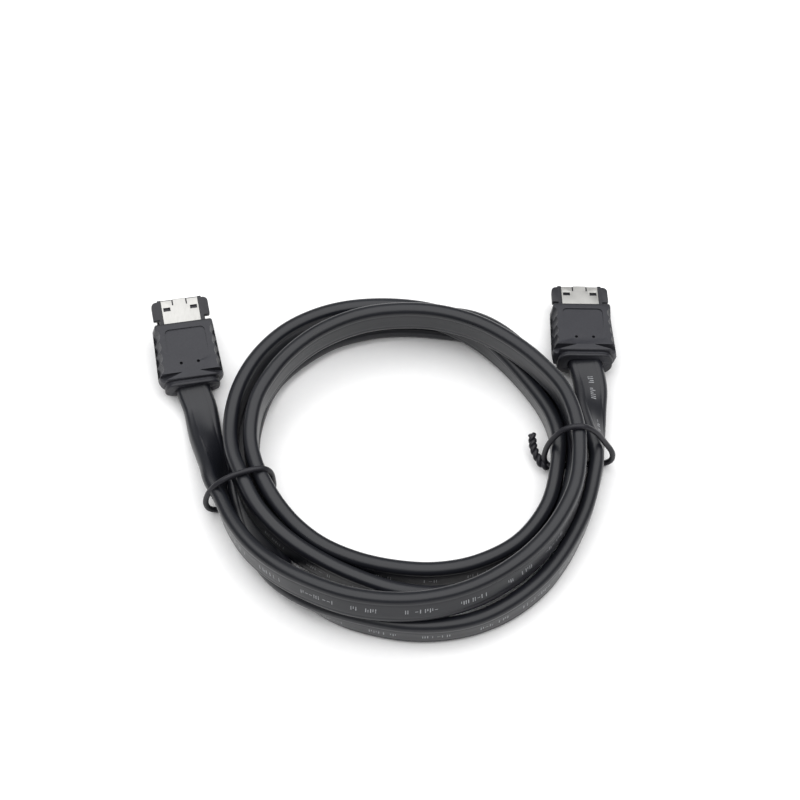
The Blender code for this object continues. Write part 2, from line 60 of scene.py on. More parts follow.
# Colours, linear
JACKET_DARK = (0.0070, 0.0078, 0.0108)
JACKET_PALE = (0.0112, 0.0120, 0.0160)
# Painted highlight colour that the jacket's rounded edges are lightened towards
JACKET_HIGHLIGHT_COLOUR = (0.026, 0.027, 0.033)
LEGEND_INK = (0.38, 0.39, 0.41)
GRIP_DARK = (0.0135, 0.0138, 0.0180)
GRIP_PALE = (0.0180, 0.0184, 0.0230)
NOSE_DARK = (0.0140, 0.0140, 0.0180)
NOSE_PALE = (0.0200, 0.0200, 0.0250)
INSERT_DARK = (0.03, 0.03, 0.032)
INSERT_PALE = (0.045, 0.045, 0.048)
SHELL_DARK = (0.44, 0.437, 0.424)
SHELL_PALE = (0.50, 0.496, 0.482)
GOLD_DARK = (0.78, 0.56, 0.24)
GOLD_PALE = (0.90, 0.68, 0.32)
FOIL_DARK = (0.6, 0.6, 0.62)
FOIL_PALE = (0.8, 0.8, 0.82)
TIE_DARK = (0.0130, 0.0130, 0.0170)
TIE_PALE = (0.0190, 0.0190, 0.0240)
PAPER_DARK = (0.95, 0.95, 0.955)
PAPER_PALE = (0.97, 0.97, 0.97)

# Plain marks on the cable, in millimetres
MARK_PITCH = 1.12
MARK_HALF_HEIGHT = 0.66
DASH_HALF_HEIGHT = 0.1
LEGEND_START = 30.0

# Groups of marks: places in a group, the share that is filled at least, and the most that is added to it
MARKS_A_WORD = 11.0
LEAST_WORD = 0.46
WORD_GROWTH = 0.22

# Bars of a mark, from and to as shares of the pitch, and the shares of marks that go without them
FIRST_BAR = (0.10, 0.30)
SECOND_BAR = (0.58, 0.76)
DASH_BAR = (0.1, 0.76)
NO_FIRST_BAR = 0.2
NO_SECOND_BAR = 0.45
DASH_SHARE = 0.16

# The second bar fills one half of the height: the share of lower ones, and how far it passes the middle
LOWER_SHARE = 0.35
PAST_MIDDLE = -0.05

# Finishes: how strongly a painted highlight lightens the jacket's and the grips' edges, how much brighter a
# grip's painted edge highlight is, how roughness spreads
JACKET_HIGHLIGHT_STRENGTH = 0.35
GRIP_HIGHLIGHT_STRENGTH = 0.4
HIGHLIGHT_BRIGHTER = 1.9
SMOOTHER_BY = 0.07
ROUGHER_BY = 0.08

# Depths of the fine surface layers, in metres
JACKET_STREAK_DEPTH = 0.000016
JACKET_GRAIN_DEPTH = 0.000006
GRIP_GRAIN_DEPTH = 0.00003
FINE_GRAIN_DEPTH = 0.00002
ROLLED_LINE_DEPTH = 0.000004
SMUDGE_DEPTH = 0.00001
CRINKLE_DEPTH = 0.00006
TIE_DENT_DEPTH = 0.00005
TIE_GRAIN_DEPTH = 0.00001
FIBRE_DEPTH = 0.00002

# Sizes of the moulded plastics' grain, in metres
GRIP_GRAIN = 0.00045
NOSE_GRAIN = 0.00035
INSERT_GRAIN = 0.0004

# A Mix node's colour sockets
MIX_FIRST = 6
MIX_SECOND = 7
MIX_RESULT = 2

# Camera
CAMERA_RISE = math.radians(57.0)
CAMERA_AWAY = 0.620
PX_PER_MM = 4.03
COIL_CENTRE_PX = (400.0, 460.0)
PICTURE_PX = 800.0
SENSOR_MM = 36.0
NEAREST_SEEN = 0.01

# Table, lamp and surroundings, in metres and watts
TABLE_SIDE = 6.0
CEILING_PLACE = (0.0, 0.15, 1.5)
CEILING_AIM = (0.0, 0.0, 0.0)
CEILING_SIZE = (3.0, 2.6)
CEILING_POWER = 54.0
WORLD_STRENGTH = 0.3

# Modelling, in millimetres: corners this close are at one place, and an edge this long goes along an axis
NEAR = 0.01
LONG_EDGE = 0.5
X, Y, Z = range(3)

# Cutters reach this far past a surface, and a little less past the thin shell plates
OVERSHOOT = 1.0
SHELL_OVERSHOOT = 0.5

# Cable from the left plug's collar to the tie: x, y, z of its middle and its lean, in millimetres and degrees
# A lean of 0 stands on edge, 90 lies flat with the upper edge turned outwards
LEFT_TAIL = (
    (-50.0, 13.6, 2.6, 88), (-49.2, 10.0, 2.6, 83), (-48.2, 4.8, 3.0, 70),
    (-46.9, -0.6, 3.9, 54), (-45.8, -5.8, 5.0, 38), (-45.1, -10.6, 5.9, 23),
)

# Turns of the coil: plan angle, counted on from turn to turn, distance from the coil's centre, height, lean
COIL_TURNS = (
    (200, 45.9, 6.6, 12), (209, 46.3, 7.6, 5), (220, 46.9, 9.0, 0), (231, 47.3, 10.6, -3),
    (242, 47.6, 12.0, -7), (256, 48.1, 12.8, -11), (270, 48.1, 12.8, -13), (283, 47.8, 12.5, -14),
    (296, 47.1, 12.0, -13), (311, 46.4, 12.1, -8), (324, 45.8, 12.5, -3), (338, 45.1, 12.8, 0),
    (350, 44.0, 12.7, 0), (362, 43.1, 12.7, 0), (375, 41.8, 12.75, 0), (389, 39.4, 12.8, 0),
    (403, 37.6, 12.85, 0), (418, 36.4, 12.9, 0), (434, 35.4, 12.9, 0), (450, 34.7, 12.9, 0),
    (467, 34.6, 12.85, 0), (485, 34.7, 12.8, 0), (500, 35.0, 12.7, 0), (512, 35.6, 12.1, 0),
    (525, 36.6, 10.5, 0), (540, 36.6, 8.9, 0), (552, 35.9, 8.6, 0), (561, 35.3, 8.6, 0),
    (571, 34.8, 7.4, 0), (582, 34.2, 5.6, 0), (596, 33.7, 4.5, 0), (613, 33.6, 4.3, 0),
    (630, 34.4, 4.3, 0), (645, 36.0, 4.3, 0), (660, 37.7, 4.3, 0), (677, 39.3, 4.3, 0),
    (695, 39.5, 4.4, 0), (712, 38.9, 5.3, 0), (722, 39.0, 5.7, 0), (732, 38.6, 5.1, -3),
    (742, 38.0, 4.4, -7), (752, 37.5, 4.3, -8), (764, 37.6, 4.6, -6), (776, 38.0, 5.8, -2),
    (785, 38.2, 7.1, 0), (794, 38.5, 8.0, 0), (804, 38.9, 8.15, 0), (818, 39.8, 8.1, 0),
    (831, 41.1, 8.1, 0), (842, 42.1, 8.1, 0), (853, 42.8, 8.1, 0), (866, 42.9, 8.1, 0),
    (880, 42.5, 8.1, 0), (893, 41.9, 8.1, 0), (905, 41.2, 8.5, 0), (918, 39.9, 8.9, 0),
    (928, 39.5, 8.1, 0), (939, 38.8, 7.1, 0), (949, 38.0, 5.8, 0), (961, 37.4, 4.6, 0),
    (976, 38.3, 4.3, 0), (990, 40.4, 4.3, 0), (1004, 42.5, 4.3, 0), (1018, 43.8, 4.3, 0),
    (1034, 44.0, 4.3, 0), (1052, 43.5, 4.4, 0), (1070, 42.9, 4.35, 0), (1082, 42.8, 4.35, 0),
    (1094, 42.4, 4.3, 0), (1108, 42.0, 4.3, 1), (1122, 42.0, 4.25, 4), (1134, 42.1, 4.15, 17),
    (1145, 41.7, 3.55, 46), (1155, 40.9, 2.6, 73), (1168, 40.4, 2.0, 89), (1182, 40.3, 2.0, 90),
    (1200, 40.5, 2.0, 90), (1226, 40.5, 2.0, 90), (1250, 39.3, 2.2, 90), (1272, 39.0, 2.9, 90),
    (1282, 39.8, 3.0, 90), (1292, 41.0, 2.2, 90), (1302, 42.8, 2.1, 84), (1312, 44.9, 3.0, 60),
    (1322, 46.8, 3.9, 30), (1334, 47.9, 4.3, 10), (1350, 49.4, 4.3, 5), (1361, 50.5, 4.3, 5),
    (1371, 51.1, 4.3, 5), (1381, 50.9, 4.3, 1), (1392, 50.2, 4.3, 0), (1401, 49.3, 4.3, 2),
    (1410, 48.5, 4.3, 4), (1419, 48.15, 4.5, 5), (1428, 48.05, 5.2, 2),
)

# Cable from the right tie to the right plug's collar
RIGHT_TAIL = (
    (48.2, -3.9, 5.8, -3), (48.0, 0.5, 5.8, -15), (47.6, 5.9, 5.8, -38), (47.4, 11.8, 5.9, -62),
    (47.6, 16.8, 6.0, -80), (47.2, 20.8, 6.0, -89),
)

# Plug places: middle of the moulding's front top edge, then turn, nose-up pitch and roll in degrees
PLUGS = {
    "left": ((-54.6, 33.8, 11.7), (10.9, 13.5, 3.5)),
    "right": ((46.2, 41.6, 8.6), (1.8, -5.2, 3.5)),
}
BODY_THICKNESS = 8.2
BODY_END = 16.8
CABLE_ENTRY = 13.6

# Moulded grip, in millimetres of the plug
FRONT_HALF = 7.72
REAR_HALF = 8.32
TOP_FRONT_HALF = 7.25
TOP_REAR_HALF = 7.35
LOWER_END = 15.3
FRONT_CORNER = 0.5
REAR_CORNER = 1.5
TOP_EDGE = 0.45
FINE_EDGE = 0.1
SCALLOPS = 4
SCALLOP_RADIUS = 2.1
SCALLOP_PITCH = 2.9
SCALLOP_FIRST = 3.1
SCALLOP_SIDES = 64
PANEL_HALF = 5.1
PANEL_FRONT = 1.8
PANEL_REAR = 9.0
PANEL_CORNER = 1.2
PANEL_DEPTH = 0.28
PANEL_RISE = 0.7
PIN_HALF_SPACING = 2.15
PIN_FROM_FRONT = 11.1
PIN_RADIUS = 0.40
PIN_DEPTH = 1.0
PIN_SIDES = 20
COLLAR_HALF = 6.75
COLLAR_BELOW = 0.75
COLLAR_OVERLAP = 1.2
COLLAR_CORNER = 2.7
RIM_HALF = 6.95
RIM_BELOW = 0.45
RIM_LENGTH = 0.95
RIM_CORNER = 2.9
RIM_EDGE = 0.3
SCOOP_INNER = 2.3
SCOOP_OUTER = 9.0
SCOOP_FLOOR = 1.3
SCOOP_REACH = 8.0
SCOOP_TIP = 0.1
SCOOP_FRONT = 13.45
SCOOP_REAR = 15.9
SCOOP_RADIUS = 0.35
MOUTH_HALF = 4.42
MOUTH_HALF_HEIGHT = 1.98
MOUTH_CORNER = 1.75
MOUTH_DEPTH = 1.2
GRIP_SHARP = 35.0

# Nose, in millimetres of the plug
NOSE_MIDDLE = 4.25
NOSE_HALF_HEIGHT = 2.42
NOSE_LENGTH = 6.95
NOSE_BURIED = 4.9
CORE_HALF = 5.6
WEB_HALF = 5.9
WEB_REAR_SET_BACK = 1.0
WEB_FRONT_SET_BACK = 1.2
WEB_INSET = 0.1
WEB_CORNER = 0.8
LOWER_WING_HALF = 6.1
WING_HALF = 7.18
WING_THICKNESS = 1.5
WING_CORNER = 1.25
WING_REAR_CORNER = 0.3
WING_SET_BACK = 0.35
NOTCH_LENGTH = 1.7
SLOT_HALF = 5.4
SLOT_HALF_HEIGHT = 1.35
SLOT_DEEP = 6.6
SHELL_HALF = 4.65
SHELL_THICKNESS = 0.28
SHELL_PROUD = 0.06
SHELL_REAR = 3.0
SHELL_FOLD = 0.2
SHELL_FINE_EDGE = 0.035
SHELL_SHARP = 50.0
SEAT_PLAY = 0.04
SEAT_REAR = 4.0
NOSE_FINE_EDGE = 0.12
NOSE_SHARP = 40.0
WINDOW_X = 3.4
WINDOW_WIDTH = 1.8
WINDOW_LENGTH = 1.0
WINDOW_REAR = 3.75
SLIT_X = 1.75
SLIT_WIDTH = 0.34
SLIT_LENGTH = 1.75

# Wire ties, in millimetres from the coil's centre
# The left loop is given as distance, height and swing in radians, the right one as x, y and z
TIE_WIRE = 0.71
TWIST_WIRE = 0.58
TWIST_RADIUS = 0.50
TWIST_PITCH = 3.2
TWIST_SPACING = 0.35
TWIST_SIDE = Vector((0.0, 1.0, 0.3))
WIRE_SPACING = 0.8
STRAND_SPACING = 0.3
WIRE_ROUNDNESS = 5
WIRE_SHARP = 50.0
WELD_DISTANCE = 1e-6
LEFT_TIE_ANGLE = 197.5
LEFT_TIE_LOOP = (
    (42.0, 0.78, 0.014), (45.6, 0.78, 0.014), (47.6, 1.0, 0.012), (49.1, 2.4, 0.010), (49.6, 4.9, 0.004),
    (48.7, 8.2, 0.0), (46.4, 11.4, 0.0), (42.5, 13.5, 0.0), (38.2, 13.9, 0.0), (34.8, 13.1, 0.0),
    (33.0, 10.6, 0.0), (32.5, 7.0, 0.01), (32.7, 3.4, 0.012), (34.2, 1.0, 0.014), (38.0, 0.78, 0.018),
    (41.0, 0.78, 0.035),
)
RIGHT_TIE_LOOP = (
    (37.0, -2.6, 1.2), (35.6, -2.3, 3.6), (35.8, -1.7, 7.6), (37.2, -1.4, 12.0), (40.3, -1.2, 16.4),
    (44.0, -1.1, 17.4), (47.4, -0.9, 14.6), (50.2, -1.1, 9.8), (52.2, -1.6, 5.8), (52.0, -1.6, 2.4),
    (50.2, -1.5, 0.8), (46.0, -1.7, 0.75), (40.0, -2.2, 0.75), (37.6, -2.6, 0.8),
)
RIGHT_TIE_TWIST = (
    (36.6, -3.2, 1.9), (35.2, -3.0, 2.6), (33.9, -1.1, 3.2), (33.0, 1.4, 3.6), (32.7, 4.6, 4.6),
)


def plug_matrix(side):
    """From a plug's own millimetres, y to its nose and z up, to the model's metres."""
    place, (yaw, pitch, roll) = PLUGS[side]
    turned = (Matrix.Rotation(math.radians(yaw), 4, "Z") @ Matrix.Rotation(math.radians(pitch), 4, "X")
              @ Matrix.Rotation(math.radians(roll), 4, "Y"))
    moved = Matrix.Translation(Vector(place) * MM + COIL_CENTRE) @ turned @ Matrix.Scale(MM, 4)
    return moved @ Matrix.Translation((0.0, 0.0, -BODY_THICKNESS))


def in_plug(side, point):
    return (plug_matrix(side) @ Vector(point) - COIL_CENTRE) / MM


# Route of the cable

def slope(p, q, r, before, after):
    """Slope of the curve at q, the middle one of three points, from the knot gaps on its two sides."""
    return (r - q) / after - (r - p) / (before + after) + (q - p) / before


def smooth(points, spacing):
    """Evenly spaced points on a smooth curve through the given ones, each with its lean, and its length."""
    fine = []
    last = len(points) - 1
    for index in range(last):
        a, b, c, d = (Vector(points[min(max(index + step, 0), last)]) for step in (-1, 0, 1, 2))
        # Centripetal knots keep the curve from swinging where the points are uneven
        gaps = [max((q - p).xyz.length, LEAST_GAP) ** 0.5 for p, q in ((a, b), (b, c), (c, d))]
        straight = (c - b) / gaps[1]
        start = slope(a, b, c, gaps[0], gaps[1]) if a != b else straight
        end = slope(b, c, d, gaps[1], gaps[2]) if c != d else straight
        start = start * gaps[1]
        end = end * gaps[1]
        for step in range(CURVE_SAMPLES):
            t = step / CURVE_SAMPLES
            fine.append(b * (2 * t ** 3 - 3 * t ** 2 + 1) + start * (t ** 3 - 2 * t ** 2 + t)
                        + c * (3 * t ** 2 - 2 * t ** 3) + end * (t ** 3 - t ** 2))
    fine.append(Vector(points[last]))
    along = [0.0]
    for p, q in zip(fine, fine[1:]):
        along.append(along[-1] + (q - p).xyz.length)
    count = round(along[-1] / spacing)
    route = []
    place = 0
    for index in range(count + 1):
        wanted = along[-1] * index / count
        while place < len(fine) - 2 and along[place + 1] < wanted:
            place += 1
        share = (wanted - along[place]) / (along[place + 1] - along[place])
        route.append(fine[place].lerp(fine[place + 1], share))
    return route, along[-1]


def cable_points():
    """The whole route, collar to collar, in millimetres from the coil's centre."""
    points = [(*in_plug("left", (0.0, -y, BODY_THICKNESS / 2)), 90) for y in (CABLE_ENTRY, BODY_END)]
    points += LEFT_TAIL
    for angle, away, height, lean in COIL_TURNS:
        turn = math.radians(angle)
        points.append((away * math.cos(turn), away * math.sin(turn), height, lean))
    points += RIGHT_TAIL
    points += [(*in_plug("right", (0.0, -y, BODY_THICKNESS / 2)), -90) for y in (BODY_END, CABLE_ENTRY)]
    return points


def section_outline():
    """The whole section, starting at the middle of the inner face, with its lower edge first."""
    quarter = list(SECTION_QUARTER)
    half = quarter + [(-u, v) for u, v in reversed(quarter)]
    return [(-u, -v) for u, v in half] + half[1:-1]


def sweep_cable():
    """The flat cable as one mesh, its path in metres and its length in metres."""
    route, length = smooth(cable_points(), RING_SPACING / MM)
    outline = section_outline()
    around = [0.0]
    for p, q in zip(outline, outline[1:] + outline[:1]):
        around.append(around[-1] + math.dist(p, q))
    around = [place - around[-1] / 2 for place in around]
    mesh = bpy.data.meshes.new("cable")
    bm = bmesh.new()
    uv = bm.loops.layers.uv.new("along")
    rings = []
    for index, point in enumerate(route):
        before = route[max(index - 1, 0)].xyz
        after = route[min(index + 1, len(route) - 1)].xyz
        tangent = (after - before).normalized()
        outward = tangent.cross(Vector((0.0, 0.0, 1.0))).normalized()
        upward = outward.cross(tangent)
        lean = math.radians(point.w)
        across = math.cos(lean) * outward - math.sin(lean) * upward
        edgeward = math.cos(lean) * upward + math.sin(lean) * outward
        places = [(point.xyz + u * across + v * edgeward) * MM + COIL_CENTRE for u, v in outline]
        rings.append([bm.verts.new(place) for place in places])
    step = length / (len(route) - 1)
    for index, (ring, following) in enumerate(zip(rings, rings[1:])):
        for side in range(len(outline)):
            after = (side + 1) % len(outline)
            face = bm.faces.new((ring[side], ring[after], following[after], following[side]))
            face.smooth = True
            places = ((index, side), (index, side + 1), (index + 1, side + 1), (index + 1, side))
            for loop, (row, column) in zip(face.loops, places):
                loop[uv].uv = (row * step, around[column])
    bm.faces.new(list(reversed(rings[0])))
    bm.faces.new(rings[-1])
    bmesh.ops.recalc_face_normals(bm, faces=bm.faces)
    bm.to_mesh(mesh)
    bm.free()
    cable = bpy.data.objects.new("flat_cable", mesh)
    bpy.context.scene.collection.objects.link(cable)
    path = [point.xyz * MM + COIL_CENTRE for point in route]
    return cable, path, length * MM


# Modelling helpers

def activate(piece):
    bpy.ops.object.select_all(action="DESELECT")
    piece.select_set(True)
    bpy.context.view_layer.objects.active = piece


def new_box(name, low, high):
    middle = [(a + b) / 2 for a, b in zip(low, high)]
    bpy.ops.object.select_all(action="DESELECT")
    bpy.ops.mesh.primitive_cube_add(size=1.0, location=middle)
    box = bpy.context.object
    box.name = name
    box.scale = [b - a for a, b in zip(low, high)]
    bpy.ops.object.transform_apply(location=True, rotation=True, scale=True)
    return box


def new_cylinder(name, middle, radius, height, sides):
    bpy.ops.object.select_all(action="DESELECT")
    bpy.ops.mesh.primitive_cylinder_add(vertices=sides, radius=radius, depth=height, location=middle)
    cylinder = bpy.context.object
    cylinder.name = name
    bpy.ops.object.transform_apply(location=True, rotation=True, scale=True)
    return cylinder


def select_parts(piece, mode, test):
    """Selects the vertices, edges or faces whose corners all pass the test, and enters edit mode."""
    activate(piece)
    mesh = piece.data
    bpy.ops.object.mode_set(mode="EDIT")
    bpy.ops.mesh.select_mode(type=mode)
    bpy.ops.mesh.select_all(action="DESELECT")
    bpy.ops.object.mode_set(mode="OBJECT")
    parts = {"VERT": mesh.vertices, "EDGE": mesh.edges, "FACE": mesh.polygons}[mode]
    for part in parts:
        corners = [part] if mode == "VERT" else [mesh.vertices[index] for index in part.vertices]
        part.select = test([corner.co for corner in corners])
    bpy.ops.object.mode_set(mode="EDIT")


def goes_along(corners, axis):
    return abs(corners[0][axis] - corners[1][axis]) > LONG_EDGE


def goes_up(corners):
    return goes_along(corners, Z)


def goes_lengthwise(corners):
    return goes_along(corners, Y)


def leave_edit():
    bpy.ops.object.mode_set(mode="OBJECT")


def bevel_edges(piece, test, width, segments):
    select_parts(piece, "EDGE", test)
    bpy.ops.mesh.bevel(offset=width, segments=segments, affect="EDGES")
    leave_edit()


def finish_edges(piece, width, sharp):
    """A fine bevel along edges that bend by more than sharp degrees.

    Width is the most that it can be: on the grip and the shell plates it comes out as almost nothing.
    """
    finish_modifier(piece, "BEVEL", width=width, segments=2, limit_method="ANGLE",
                    angle_limit=math.radians(sharp))


def finish_modifier(piece, kind, **settings):
    activate(piece)
    modifier = piece.modifiers.new(kind.lower(), kind)
    for name, value in settings.items():
        setattr(modifier, name, value)
    bpy.ops.object.modifier_apply(modifier=modifier.name)


def join_solid(piece, other, operation):
    finish_modifier(piece, "BOOLEAN", object=other, operation=operation, solver="EXACT")
    bpy.data.objects.remove(other)


def smooth_by_angle(piece, degrees):
    activate(piece)
    bpy.ops.object.shade_smooth_by_angle(angle=math.radians(degrees))


def copy_piece(piece, name, matrix):
    copy = bpy.data.objects.new(name, piece.data.copy())
    copy.data.transform(matrix)
    bpy.context.scene.collection.objects.link(copy)
    return copy


# Moulded grip of a plug, in its own millimetres: x across, y to the nose, z up

def shaped_body():
    """The grip's plain block, widest at mid-height and at its rear, with rounded corners and rims."""
    body = new_box("grip", (-FRONT_HALF, -LOWER_END, 0.0), (FRONT_HALF, 0.0, BODY_THICKNESS))
    select_parts(body, "FACE", lambda corners: True)
    middle = BODY_THICKNESS / 2
    rear = -LOWER_END / 2
    bpy.ops.mesh.bisect(plane_co=(0.0, 0.0, middle), plane_no=(0.0, 0.0, 1.0))
    leave_edit()
    halves = {(False, False): TOP_FRONT_HALF, (False, True): FRONT_HALF,
              (True, False): TOP_REAR_HALF, (True, True): REAR_HALF}
    for (at_rear, at_middle), half in halves.items():
        select_parts(body, "VERT", lambda corners: (corners[0].y < rear) == at_rear
                     and (abs(corners[0].z - middle) < NEAR) == at_middle)
        bpy.ops.transform.resize(value=(half / FRONT_HALF, 1.0, 1.0), center_override=(0.0, 0.0, 0.0))
        leave_edit()
    bevel_edges(body, lambda corners: goes_up(corners) and corners[0].y < rear, REAR_CORNER, 5)
    bevel_edges(body, lambda corners: goes_up(corners) and corners[0].y > -NEAR, FRONT_CORNER, 3)
    rims = (0.0, BODY_THICKNESS)
    bevel_edges(body, lambda corners: any(all(abs(c.z - rim) < NEAR for c in corners) for rim in rims),
                TOP_EDGE, 4)
    return body


def cut_scallops(body):
    """Upright finger scallops down both sides, meeting each other in sharp ridges."""
    deep = SCALLOP_RADIUS - (SCALLOP_RADIUS ** 2 - (SCALLOP_PITCH / 2) ** 2) ** 0.5
    height = BODY_THICKNESS / 2
    draft = (REAR_HALF - TOP_REAR_HALF) / height
    for side in (-1, 1):
        for index in range(SCALLOPS):
            along = -SCALLOP_FIRST - SCALLOP_PITCH * index
            wall = FRONT_HALF + (REAR_HALF - FRONT_HALF) * -along / LOWER_END
            for face in (-1, 1):
                cutter = new_cylinder("scallop", (side * (wall + SCALLOP_RADIUS - deep), along, height),
                                      SCALLOP_RADIUS, BODY_THICKNESS * 2, SCALLOP_SIDES)
                select_parts(cutter, "VERT", lambda corners: (corners[0].z - height) * face < 0.0)
                bpy.ops.transform.translate(value=(0.0, 0.0, face * BODY_THICKNESS))
                leave_edit()
                select_parts(cutter, "VERT", lambda corners: (corners[0].z - height) * face > NEAR)
                bpy.ops.transform.translate(value=(-side * draft * BODY_THICKNESS, 0.0, 0.0))
                leave_edit()
                join_solid(body, cutter, "DIFFERENCE")


def rounded_cutter(name, low, high, radius, segments, test):
    cutter = new_box(name, low, high)
    bevel_edges(cutter, test, radius, segments)
    return cutter


def cut_panel(body):
    """A shallow sunk panel on each wide face, deepest at its front."""
    half_way = -(PANEL_FRONT + PANEL_REAR) / 2
    for face in (-1, 1):
        surface = BODY_THICKNESS / 2 * (1 + face)
        floor = surface - face * PANEL_DEPTH
        cutter = rounded_cutter("panel", (-PANEL_HALF, -PANEL_REAR, surface - OVERSHOOT),
                                (PANEL_HALF, -PANEL_FRONT, surface + OVERSHOOT), PANEL_CORNER, 6, goes_up)
        select_parts(cutter, "VERT", lambda corners: True)
        bpy.ops.transform.translate(value=(0.0, 0.0, face * (OVERSHOOT - PANEL_DEPTH)))
        leave_edit()
        select_parts(cutter, "VERT", lambda corners: abs(corners[0].z - floor) < NEAR
                     and corners[0].y < half_way)
        bpy.ops.transform.translate(value=(0.0, 0.0, face * PANEL_DEPTH * PANEL_RISE))
        leave_edit()
        join_solid(body, cutter, "DIFFERENCE")


def cut_pin_holes(body):
    for face in (-1, 1):
        surface = BODY_THICKNESS / 2 * (1 + face)
        for side in (-1, 1):
            cutter = new_cylinder("pin_hole", (side * PIN_HALF_SPACING, -PIN_FROM_FRONT, surface),
                                  PIN_RADIUS, PIN_DEPTH * 2, PIN_SIDES)
            join_solid(body, cutter, "DIFFERENCE")


def scoop_cutter(side, face):
    """A wedge that is wide and deep at the side of the grip and runs out towards its middle."""
    middle = BODY_THICKNESS / 2
    inner = side * SCOOP_INNER
    xs = sorted((inner, side * SCOOP_OUTER))
    zs = sorted((middle + face * SCOOP_FLOOR, middle + face * SCOOP_REACH))
    cutter = new_box("scoop", (xs[0], -SCOOP_REAR, zs[0]), (xs[1], -SCOOP_FRONT, zs[1]))
    select_parts(cutter, "VERT", lambda corners: abs(corners[0].x - inner) < NEAR
                 and corners[0].y < -SCOOP_FRONT - NEAR)
    bpy.ops.transform.translate(value=(0.0, SCOOP_REAR - SCOOP_FRONT - SCOOP_TIP, 0.0))
    leave_edit()
    select_parts(cutter, "VERT", lambda corners: abs(corners[0].x - inner) < NEAR
                 and abs(corners[0].z - middle) < SCOOP_FLOOR + NEAR)
    bpy.ops.transform.translate(value=(0.0, 0.0, face * (middle - SCOOP_FLOOR - SCOOP_TIP)))
    leave_edit()
    bevel_edges(cutter, lambda corners: all(abs(c.z - middle) < middle + SCOOP_TIP for c in corners)
                and all(c.y < -SCOOP_FRONT - SCOOP_TIP / 2 for c in corners), SCOOP_RADIUS, 4)
    return cutter


def add_rim(body):
    """The crowned rim that the cable comes out of, with the scoops before it and the mouth in it."""
    collar = rounded_cutter("collar", (-COLLAR_HALF, -BODY_END + RIM_LENGTH / 2, COLLAR_BELOW),
                            (COLLAR_HALF, -LOWER_END + COLLAR_OVERLAP, BODY_THICKNESS - COLLAR_BELOW),
                            COLLAR_CORNER, 8, goes_lengthwise)
    join_solid(body, collar, "UNION")
    rim = rounded_cutter("rim", (-RIM_HALF, -BODY_END, RIM_BELOW),
                         (RIM_HALF, -BODY_END + RIM_LENGTH, BODY_THICKNESS - RIM_BELOW),
                         RIM_CORNER, 8, goes_lengthwise)
    bevel_edges(rim, lambda corners: not goes_lengthwise(corners), RIM_EDGE, 3)
    join_solid(body, rim, "UNION")
    for face in (-1, 1):
        for side in (-1, 1):
            join_solid(body, scoop_cutter(side, face), "DIFFERENCE")
    middle = BODY_THICKNESS / 2
    mouth = rounded_cutter("mouth", (-MOUTH_HALF, -BODY_END - OVERSHOOT, middle - MOUTH_HALF_HEIGHT),
                           (MOUTH_HALF, -BODY_END + MOUTH_DEPTH, middle + MOUTH_HALF_HEIGHT),
                           MOUTH_CORNER, 6, goes_lengthwise)
    join_solid(body, mouth, "DIFFERENCE")


def model_grip():
    grip = shaped_body()
    cut_scallops(grip)
    cut_panel(grip)
    cut_pin_holes(grip)
    add_rim(grip)
    finish_edges(grip, FINE_EDGE, GRIP_SHARP)
    smooth_by_angle(grip, GRIP_SHARP)
    return grip


# Nose of a plug: plastic with thin wings, and a folded metal shell over it

def model_nose():
    """Plastic nose: a narrow block with a thin rounded wing along each side, notched behind it."""
    low = NOSE_MIDDLE - NOSE_HALF_HEIGHT
    high = NOSE_MIDDLE + NOSE_HALF_HEIGHT
    half_way = (NOTCH_LENGTH + NOSE_LENGTH) / 2
    nose = new_box("nose", (-CORE_HALF, -NOSE_BURIED, low), (CORE_HALF, NOSE_LENGTH, high))
    for face in (-1, 1):
        top = NOSE_MIDDLE + face * NOSE_HALF_HEIGHT
        zs = sorted((top, top - face * WING_THICKNESS))
        half = WING_HALF if face > 0 else LOWER_WING_HALF
        wing = new_box("wing", (-half, NOTCH_LENGTH, zs[0]), (half, NOSE_LENGTH - WING_SET_BACK, zs[1]))
        bevel_edges(wing, lambda corners: goes_up(corners) and corners[0].y > half_way, WING_CORNER, 6)
        bevel_edges(wing, lambda corners: goes_up(corners) and corners[0].y < half_way, WING_REAR_CORNER, 3)
        join_solid(nose, wing, "UNION")
    web = new_box("web", (-WEB_HALF, NOTCH_LENGTH + WEB_REAR_SET_BACK, low + WEB_INSET),
                  (WEB_HALF, NOSE_LENGTH - WEB_FRONT_SET_BACK, high - WEB_INSET))
    bevel_edges(web, goes_up, WEB_CORNER, 4)
    join_solid(nose, web, "UNION")
    slot = new_box("slot", (-SLOT_HALF, NOSE_LENGTH - SLOT_DEEP, NOSE_MIDDLE - SLOT_HALF_HEIGHT),
                   (SLOT_HALF, NOSE_LENGTH + OVERSHOOT, NOSE_MIDDLE + SLOT_HALF_HEIGHT))
    join_solid(nose, slot, "DIFFERENCE")
    for face in (-1, 1):
        top = NOSE_MIDDLE + face * NOSE_HALF_HEIGHT
        zs = sorted((top - face * SHELL_THICKNESS, top + face * OVERSHOOT))
        seat = new_box("seat", (-SHELL_HALF - SEAT_PLAY, -SEAT_REAR, zs[0]),
                       (SHELL_HALF + SEAT_PLAY, NOSE_LENGTH + OVERSHOOT, zs[1]))
        join_solid(nose, seat, "DIFFERENCE")
    finish_edges(nose, NOSE_FINE_EDGE, NOSE_SHARP)
    smooth_by_angle(nose, NOSE_SHARP)
    return nose


